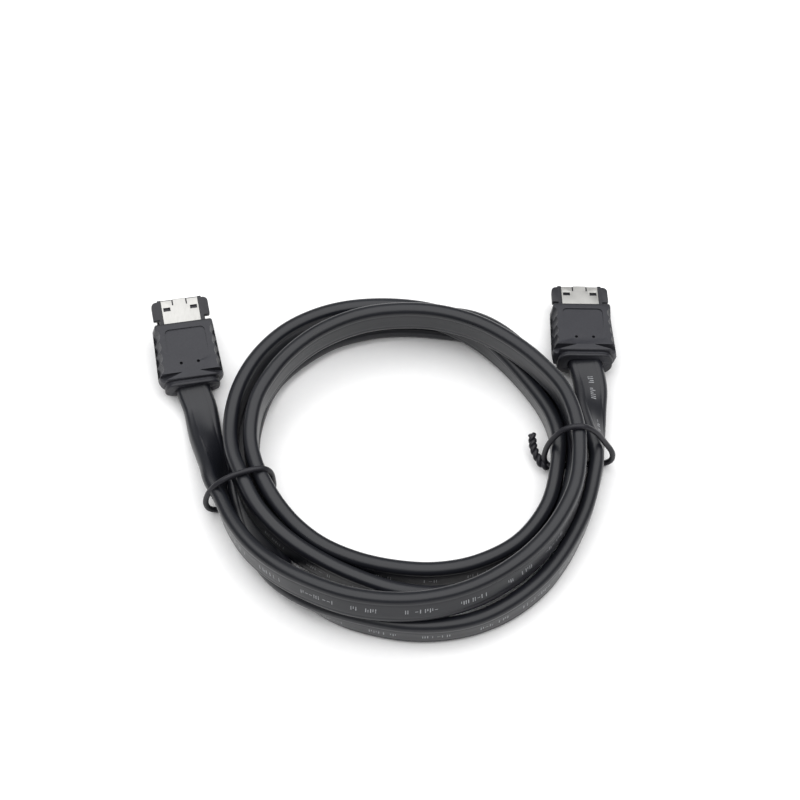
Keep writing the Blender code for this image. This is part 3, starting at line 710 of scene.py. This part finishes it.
def model_shell(face):
    """One wide side of the metal shell, rounded at the front, with windows and two L-shaped slits."""
    top = NOSE_MIDDLE + face * (NOSE_HALF_HEIGHT + SHELL_PROUD)
    low, high = sorted((top, top - face * SHELL_THICKNESS))
    shell = new_box("shell", (-SHELL_HALF, -SHELL_REAR, low), (SHELL_HALF, NOSE_LENGTH, high))
    bevel_edges(shell, lambda corners: goes_along(corners, X) and corners[0].y > NOSE_LENGTH - NEAR
                and all(abs(c.z - top) < NEAR for c in corners), SHELL_FOLD, 3)
    for side in (-1, 1):
        spots = [(side * WINDOW_X, WINDOW_WIDTH, WINDOW_REAR, WINDOW_REAR + WINDOW_LENGTH),
                 (side * SLIT_X, SLIT_WIDTH, NOSE_LENGTH - SLIT_LENGTH, NOSE_LENGTH + SHELL_OVERSHOOT),
                 (side * (SLIT_X + SHELL_HALF) / 2, SHELL_HALF - SLIT_X + SLIT_WIDTH,
                  NOSE_LENGTH - SLIT_WIDTH, NOSE_LENGTH + SHELL_OVERSHOOT)]
        for middle, wide, rear, front in spots:
            cut = new_box("cut", (middle - wide / 2, rear, low - SHELL_OVERSHOOT),
                          (middle + wide / 2, front, high + SHELL_OVERSHOOT))
            join_solid(shell, cut, "DIFFERENCE")
    finish_edges(shell, SHELL_FINE_EDGE, SHELL_SHARP)
    smooth_by_angle(shell, NOSE_SHARP)
    return shell


# Wire ties

def wire(name, points, radius, spacing=WIRE_SPACING):
    """A round wire through points in millimetres from the coil's centre."""
    route = smooth([(*point, 0.0) for point in points], spacing)[0]
    curve = bpy.data.curves.new(name, "CURVE")
    curve.dimensions = "3D"
    curve.bevel_depth = radius * MM
    curve.bevel_resolution = WIRE_ROUNDNESS
    curve.use_fill_caps = True
    spline = curve.splines.new("POLY")
    spline.points.add(len(route) - 1)
    for place, point in zip(spline.points, route):
        place.co = (*(point.xyz * MM + COIL_CENTRE), 1.0)
    made = bpy.data.objects.new(name, curve)
    bpy.context.scene.collection.objects.link(made)
    activate(made)
    bpy.ops.object.convert(target="MESH")
    made = bpy.context.object
    made.name = name
    select_parts(made, "VERT", lambda corners: True)
    bpy.ops.mesh.remove_doubles(threshold=WELD_DISTANCE)
    bpy.ops.mesh.normals_make_consistent(inside=False)
    leave_edit()
    smooth_by_angle(made, WIRE_SHARP)
    return made


def twisted(points, radius, pitch, phase):
    """Points of one strand that winds round the given middle line."""
    route = smooth([(*point, 0.0) for point in points], TWIST_SPACING)[0]
    strand = []
    for index, point in enumerate(route):
        before = route[max(index - 1, 0)].xyz
        after = route[min(index + 1, len(route) - 1)].xyz
        tangent = (after - before).normalized()
        first = tangent.cross(TWIST_SIDE).normalized()
        second = tangent.cross(first)
        turn = phase + math.tau * index * TWIST_SPACING / pitch
        strand.append(tuple(point.xyz + radius * (math.cos(turn) * first + math.sin(turn) * second)))
    return strand


def join_pieces(name, pieces):
    activate(pieces[0])
    for piece in pieces[1:]:
        piece.select_set(True)
    bpy.ops.object.join()
    joined = bpy.context.object
    joined.name = name
    return joined


def left_tie():
    turn = math.radians(LEFT_TIE_ANGLE)
    loop = [(away * math.cos(turn + swing), away * math.sin(turn + swing), height)
            for away, height, swing in LEFT_TIE_LOOP]
    return wire("left_wire_tie", loop, TIE_WIRE)


def right_tie():
    """A loop with its two ends twisted together."""
    strands = [twisted(RIGHT_TIE_TWIST, TWIST_RADIUS, TWIST_PITCH, phase) for phase in (0.0, math.pi)]
    ends = [wire("strand", strand, TWIST_WIRE, STRAND_SPACING) for strand in strands]
    return join_pieces("right_wire_tie", [wire("loop", RIGHT_TIE_LOOP, TIE_WIRE)] + ends)


# Camera, table and light

def add_camera():
    focal_px = PX_PER_MM / MM * CAMERA_AWAY
    back_along = Vector((0.0, -math.cos(CAMERA_RISE), math.sin(CAMERA_RISE))) * CAMERA_AWAY
    upward = Vector((0.0, math.sin(CAMERA_RISE), math.cos(CAMERA_RISE)))
    aside = (COIL_CENTRE_PX[0] - PICTURE_PX / 2) / focal_px * CAMERA_AWAY
    rise = (COIL_CENTRE_PX[1] - PICTURE_PX / 2) / focal_px * CAMERA_AWAY
    data = bpy.data.cameras.new("view")
    data.sensor_width = SENSOR_MM
    data.lens = focal_px / PICTURE_PX * SENSOR_MM
    data.clip_start = NEAREST_SEEN
    camera = bpy.data.objects.new("view", data)
    camera.location = COIL_CENTRE + back_along + upward * rise - Vector((aside, 0.0, 0.0))
    camera.rotation_euler = (math.pi / 2 - CAMERA_RISE, 0.0, 0.0)
    bpy.context.scene.collection.objects.link(camera)
    bpy.context.scene.camera = camera


def add_table():
    bpy.ops.mesh.primitive_plane_add(size=TABLE_SIDE, location=(0.0, 0.0, 0.0))
    table = bpy.context.object
    table.name = "table"
    table.data.materials.append(white_paper())
    bpy.context.object.select_set(False)
    return table


def add_light(name, place, aim, size, power):
    data = bpy.data.lights.new(name, "AREA")
    data.shape = "RECTANGLE"
    data.size, data.size_y = size
    data.energy = power
    lamp = bpy.data.objects.new(name, data)
    lamp.location = place
    lamp.rotation_euler = (Vector(aim) - Vector(place)).to_track_quat("-Z", "Y").to_euler()
    bpy.context.scene.collection.objects.link(lamp)


def add_world():
    world = bpy.data.worlds.new("studio")
    world.use_nodes = True
    background = world.node_tree.nodes["Background"]
    background.inputs["Color"].default_value = (1.0, 1.0, 1.0, 1.0)
    background.inputs["Strength"].default_value = WORLD_STRENGTH
    bpy.context.scene.world = world


# Materials, all procedural

def new_material(name, roughness, metallic=0.0, specular=0.5):
    material = bpy.data.materials.new(name)
    material.use_nodes = True
    tree = material.node_tree
    shader = tree.nodes["Principled BSDF"]
    shader.inputs["Roughness"].default_value = roughness
    shader.inputs["Metallic"].default_value = metallic
    shader.inputs["Specular IOR Level"].default_value = specular
    return material, tree, shader


def put(tree, socket, value):
    if isinstance(value, (int, float, tuple)):
        socket.default_value = value
    else:
        tree.links.new(value, socket)


def calc(tree, operation, *values):
    made = tree.nodes.new("ShaderNodeMath")
    made.operation = operation
    for socket, value in zip(made.inputs, values):
        put(tree, socket, value)
    return made.outputs[0]


def object_place(tree):
    return tree.nodes.new("ShaderNodeTexCoord").outputs["Object"]


def noise(tree, place, scale, detail=3.0, stretch=(1.0, 1.0, 1.0), roughness=0.55):
    mapping = tree.nodes.new("ShaderNodeMapping")
    mapping.inputs["Scale"].default_value = stretch
    put(tree, mapping.inputs["Vector"], place)
    made = tree.nodes.new("ShaderNodeTexNoise")
    made.inputs["Scale"].default_value = scale
    made.inputs["Detail"].default_value = detail
    made.inputs["Roughness"].default_value = roughness
    put(tree, made.inputs["Vector"], mapping.outputs[0])
    return made.outputs["Fac"]


def spread(tree, value, low, high, start=0.3, end=0.7):
    made = tree.nodes.new("ShaderNodeMapRange")
    for name, number in (("From Min", start), ("From Max", end), ("To Min", low), ("To Max", high)):
        made.inputs[name].default_value = number
    put(tree, made.inputs["Value"], value)
    return made.outputs["Result"]


def mixed(tree, factor, first, second):
    made = tree.nodes.new("ShaderNodeMix")
    made.data_type = "RGBA"
    put(tree, made.inputs[0], factor)
    put(tree, made.inputs[MIX_FIRST], (*first, 1.0) if isinstance(first, tuple) else first)
    put(tree, made.inputs[MIX_SECOND], (*second, 1.0) if isinstance(second, tuple) else second)
    return made.outputs[MIX_RESULT]


def shaded(tree, pattern, dark, pale):
    return mixed(tree, spread(tree, pattern, 0.0, 1.0), dark, pale)


def edge_highlight_mask(tree, low=0.52, high=0.62):
    # Pointiness mask of convex edges, where a highlight is painted into the colour
    pointed = tree.nodes.new("ShaderNodeNewGeometry").outputs["Pointiness"]
    return spread(tree, pointed, 0.0, 1.0, low, high)


def add_bump(tree, shader, *layers):
    """Layers are (height, distance in metres) pairs, put one on another."""
    normal = None
    for height, distance in layers:
        made = tree.nodes.new("ShaderNodeBump")
        made.inputs["Distance"].default_value = distance
        put(tree, made.inputs["Height"], height)
        if normal:
            put(tree, made.inputs["Normal"], normal)
        normal = made.outputs["Normal"]
    put(tree, shader.inputs["Normal"], normal)


def random_of(tree, cell, seed):
    joined = tree.nodes.new("ShaderNodeCombineXYZ")
    put(tree, joined.inputs["X"], cell)
    joined.inputs["Y"].default_value = seed
    made = tree.nodes.new("ShaderNodeTexWhiteNoise")
    made.noise_dimensions = "2D"
    put(tree, made.inputs["Vector"], joined.outputs[0])
    return made.outputs["Value"]


def between(tree, value, ends):
    past_first = calc(tree, "GREATER_THAN", value, ends[0])
    before_last = calc(tree, "LESS_THAN", value, ends[1])
    return calc(tree, "MULTIPLY", past_first, before_last)


def legend_marks(tree, along, across):
    """Plain short bars in word-long groups down the middle of the outer face."""
    steps = calc(tree, "DIVIDE", along, MARK_PITCH)
    cell = calc(tree, "FLOOR", steps)
    inside = calc(tree, "FRACT", steps)
    away = calc(tree, "ABSOLUTE", across)
    word = calc(tree, "DIVIDE", cell, MARKS_A_WORD)
    growth = calc(tree, "MULTIPLY", random_of(tree, calc(tree, "FLOOR", word), seed=5.0), WORD_GROWTH)
    in_word = calc(tree, "LESS_THAN", calc(tree, "FRACT", word), calc(tree, "ADD", growth, LEAST_WORD))
    first = calc(tree, "MULTIPLY", between(tree, inside, FIRST_BAR),
                 calc(tree, "GREATER_THAN", random_of(tree, cell, seed=1.0), NO_FIRST_BAR))
    second = calc(tree, "MULTIPLY", between(tree, inside, SECOND_BAR),
                  calc(tree, "GREATER_THAN", random_of(tree, cell, seed=2.0), NO_SECOND_BAR))
    side = calc(tree, "SUBTRACT", random_of(tree, cell, seed=3.0), LOWER_SHARE)
    half = calc(tree, "GREATER_THAN", calc(tree, "MULTIPLY", across, side), PAST_MIDDLE)
    second = calc(tree, "MULTIPLY", second, half)
    dash = calc(tree, "LESS_THAN", random_of(tree, cell, seed=4.0), DASH_SHARE)
    bar = calc(tree, "MULTIPLY", calc(tree, "LESS_THAN", away, DASH_HALF_HEIGHT),
               between(tree, inside, DASH_BAR))
    strokes = calc(tree, "MULTIPLY", calc(tree, "MAXIMUM", first, second), calc(tree, "SUBTRACT", 1.0, dash))
    shape = calc(tree, "MAXIMUM", strokes, calc(tree, "MULTIPLY", dash, bar))
    height = calc(tree, "LESS_THAN", away, MARK_HALF_HEIGHT)
    marks = calc(tree, "MULTIPLY", calc(tree, "MULTIPLY", shape, height), in_word)
    return calc(tree, "MULTIPLY", marks, calc(tree, "GREATER_THAN", along, LEGEND_START))


def cable_jacket():
    """Smooth dark jacket with faint streaks along it, a painted highlight along its rounded edges and the
    printed marks.
    """
    material, tree, shader = new_material("cable_jacket", roughness=0.3, specular=0.38)
    split = tree.nodes.new("ShaderNodeSeparateXYZ")
    uv = tree.nodes.new("ShaderNodeUVMap")
    uv.uv_map = "along"
    put(tree, split.inputs[0], uv.outputs[0])
    place = object_place(tree)
    cloudy = noise(tree, place, scale=55.0, detail=4.0)
    streaks = noise(tree, uv.outputs[0], scale=1.6, stretch=(0.03, 1.0, 1.0))
    grain = noise(tree, place, scale=2600.0, detail=2.0)
    specks = noise(tree, place, scale=900.0, detail=2.0)
    body = shaded(tree, cloudy, JACKET_DARK, JACKET_PALE)
    # Painted highlight: convex edges and bead tops lightened towards a paler colour
    body = mixed(tree, calc(tree, "MULTIPLY", edge_highlight_mask(tree), JACKET_HIGHLIGHT_STRENGTH), body, JACKET_HIGHLIGHT_COLOUR)
    marks = legend_marks(tree, split.outputs["X"], split.outputs["Y"])
    ink = calc(tree, "MULTIPLY", marks, spread(tree, specks, low=0.35, high=0.9))
    put(tree, shader.inputs["Base Color"], mixed(tree, ink, body, LEGEND_INK))
    rough = calc(tree, "ADD", spread(tree, streaks, low=0.27, high=0.34),
                 spread(tree, cloudy, low=-0.02, high=0.04))
    put(tree, shader.inputs["Roughness"], rough)
    add_bump(tree, shader, (streaks, JACKET_STREAK_DEPTH), (grain, JACKET_GRAIN_DEPTH))
    return material


def grip_plastic(name, dark, pale, rough, grain_size, depth):
    """Moulded plastic with a fine spark-eroded grain and a painted highlight along its convex edges."""
    material, tree, shader = new_material(name, rough, specular=0.34)
    place = object_place(tree)
    cloudy = noise(tree, place, scale=140.0, detail=4.0)
    grain = noise(tree, place, scale=1.0 / grain_size, roughness=0.7)
    # Painted highlight: convex edges are lightened towards a brighter copy of the pale colour
    highlight_colour = tuple(value * HIGHLIGHT_BRIGHTER for value in pale)
    highlight_share = calc(tree, "MULTIPLY", edge_highlight_mask(tree, low=0.53, high=0.64), GRIP_HIGHLIGHT_STRENGTH)
    body = mixed(tree, highlight_share, shaded(tree, cloudy, dark, pale), highlight_colour)
    put(tree, shader.inputs["Base Color"], body)
    put(tree, shader.inputs["Roughness"], spread(tree, grain, rough - SMOOTHER_BY, rough + ROUGHER_BY))
    add_bump(tree, shader, (grain, depth))
    return material


def metal(name, dark, pale, low, high):
    """Plated metal with faint rolling lines and a few handling smudges, its roughness from low to high."""
    material, tree, shader = new_material(name, low, metallic=1.0)
    place = object_place(tree)
    smudge = noise(tree, place, scale=330.0, detail=4.0)
    rolled = noise(tree, place, scale=2400.0, detail=2.0, stretch=(1.0, 0.06, 1.0))
    both = calc(tree, "MULTIPLY", smudge, rolled)
    put(tree, shader.inputs["Base Color"], shaded(tree, smudge, dark, pale))
    put(tree, shader.inputs["Roughness"], spread(tree, both, low, high, start=0.1, end=0.4))
    add_bump(tree, shader, (rolled, ROLLED_LINE_DEPTH), (smudge, SMUDGE_DEPTH))
    return material


def foil():
    """Crinkled foil round the wire pairs."""
    material, tree, shader = new_material("pair_foil", roughness=0.3, metallic=1.0)
    crinkle = noise(tree, object_place(tree), scale=1500.0)
    put(tree, shader.inputs["Base Color"], shaded(tree, crinkle, FOIL_DARK, FOIL_PALE))
    put(tree, shader.inputs["Roughness"], spread(tree, crinkle, low=0.22, high=0.42))
    add_bump(tree, shader, (crinkle, CRINKLE_DEPTH))
    return material


def tie_coating():
    """Soft plastic coat of the wire ties."""
    material, tree, shader = new_material("tie_coating", roughness=0.4, specular=0.3)
    place = object_place(tree)
    cloudy = noise(tree, place, scale=260.0, detail=4.0)
    grain = noise(tree, place, scale=3000.0, detail=2.0)
    put(tree, shader.inputs["Base Color"], shaded(tree, cloudy, TIE_DARK, TIE_PALE))
    put(tree, shader.inputs["Roughness"], spread(tree, cloudy, low=0.34, high=0.50))
    add_bump(tree, shader, (cloudy, TIE_DENT_DEPTH), (grain, TIE_GRAIN_DEPTH))
    return material


def white_paper():
    """Pale table with a faint fibre."""
    material, tree, shader = new_material("white_paper", roughness=0.7, specular=0.2)
    fibre = noise(tree, object_place(tree), scale=420.0)
    put(tree, shader.inputs["Base Color"], shaded(tree, fibre, PAPER_DARK, PAPER_PALE))
    add_bump(tree, shader, (fibre, FIBRE_DEPTH))
    return material


def dress_kept_nodes():
    """The CAD nodes that stay: contacts, inserts and the wire pairs inside the grips."""
    coats = {"contact": metal("contact_gold", GOLD_DARK, GOLD_PALE, low=0.20, high=0.34),
             "insert": grip_plastic("insert_plastic", INSERT_DARK, INSERT_PALE, rough=0.5,
                                    grain_size=INSERT_GRAIN, depth=FINE_GRAIN_DEPTH),
             "pair": foil()}
    for name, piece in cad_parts.items():
        kind = name.split("_")[1]
        if kind in coats:
            for slot in piece.material_slots:
                slot.material = coats[kind]


add_camera()
cable, cable_path, cable_length = sweep_cable()
cable.data.materials.append(cable_jacket())
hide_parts("cable_coil", "cable_tail_left", "cable_tail_right")
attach(cable, "root")

grip_coat = grip_plastic("grip_plastic", GRIP_DARK, GRIP_PALE, rough=0.46,
                         grain_size=GRIP_GRAIN, depth=GRIP_GRAIN_DEPTH)
nose_coat = grip_plastic("nose_plastic", NOSE_DARK, NOSE_PALE, rough=0.42,
                         grain_size=NOSE_GRAIN, depth=FINE_GRAIN_DEPTH)
shell_metal = metal("shell_metal", SHELL_DARK, SHELL_PALE, low=0.5, high=0.6)
tie_coat = tie_coating()
grip_master = model_grip()
for side in PLUGS:
    grip = copy_piece(grip_master, side + "_grip", plug_matrix(side))
    grip.data.materials.append(grip_coat)
    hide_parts(side + "_overmold")
    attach(grip, "root")
bpy.data.objects.remove(grip_master)

nose_master = model_nose()
shell_masters = {"top": model_shell(1), "bottom": model_shell(-1)}
for side in PLUGS:
    nose = copy_piece(nose_master, side + "_nose", plug_matrix(side))
    nose.data.materials.append(nose_coat)
    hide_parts(side + "_housing")
    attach(nose, "root")
    for face, shell_master in shell_masters.items():
        shell = copy_piece(shell_master, side + "_shell_" + face + "_plate", plug_matrix(side))
        shell.data.materials.append(shell_metal)
        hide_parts(side + "_shield_" + face)
        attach(shell, "root")
for used in (nose_master, *shell_masters.values()):
    bpy.data.objects.remove(used)

for tie, node_name in ((left_tie(), "left_tie"), (right_tie(), "right_tie")):
    tie.data.materials.append(tie_coat)
    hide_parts(node_name)
    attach(tie, "root")

dress_kept_nodes()
add_table()
add_world()
add_light("ceiling", CEILING_PLACE, CEILING_AIM, CEILING_SIZE, CEILING_POWER)
bpy.context.scene.view_settings.view_transform = "Standard"
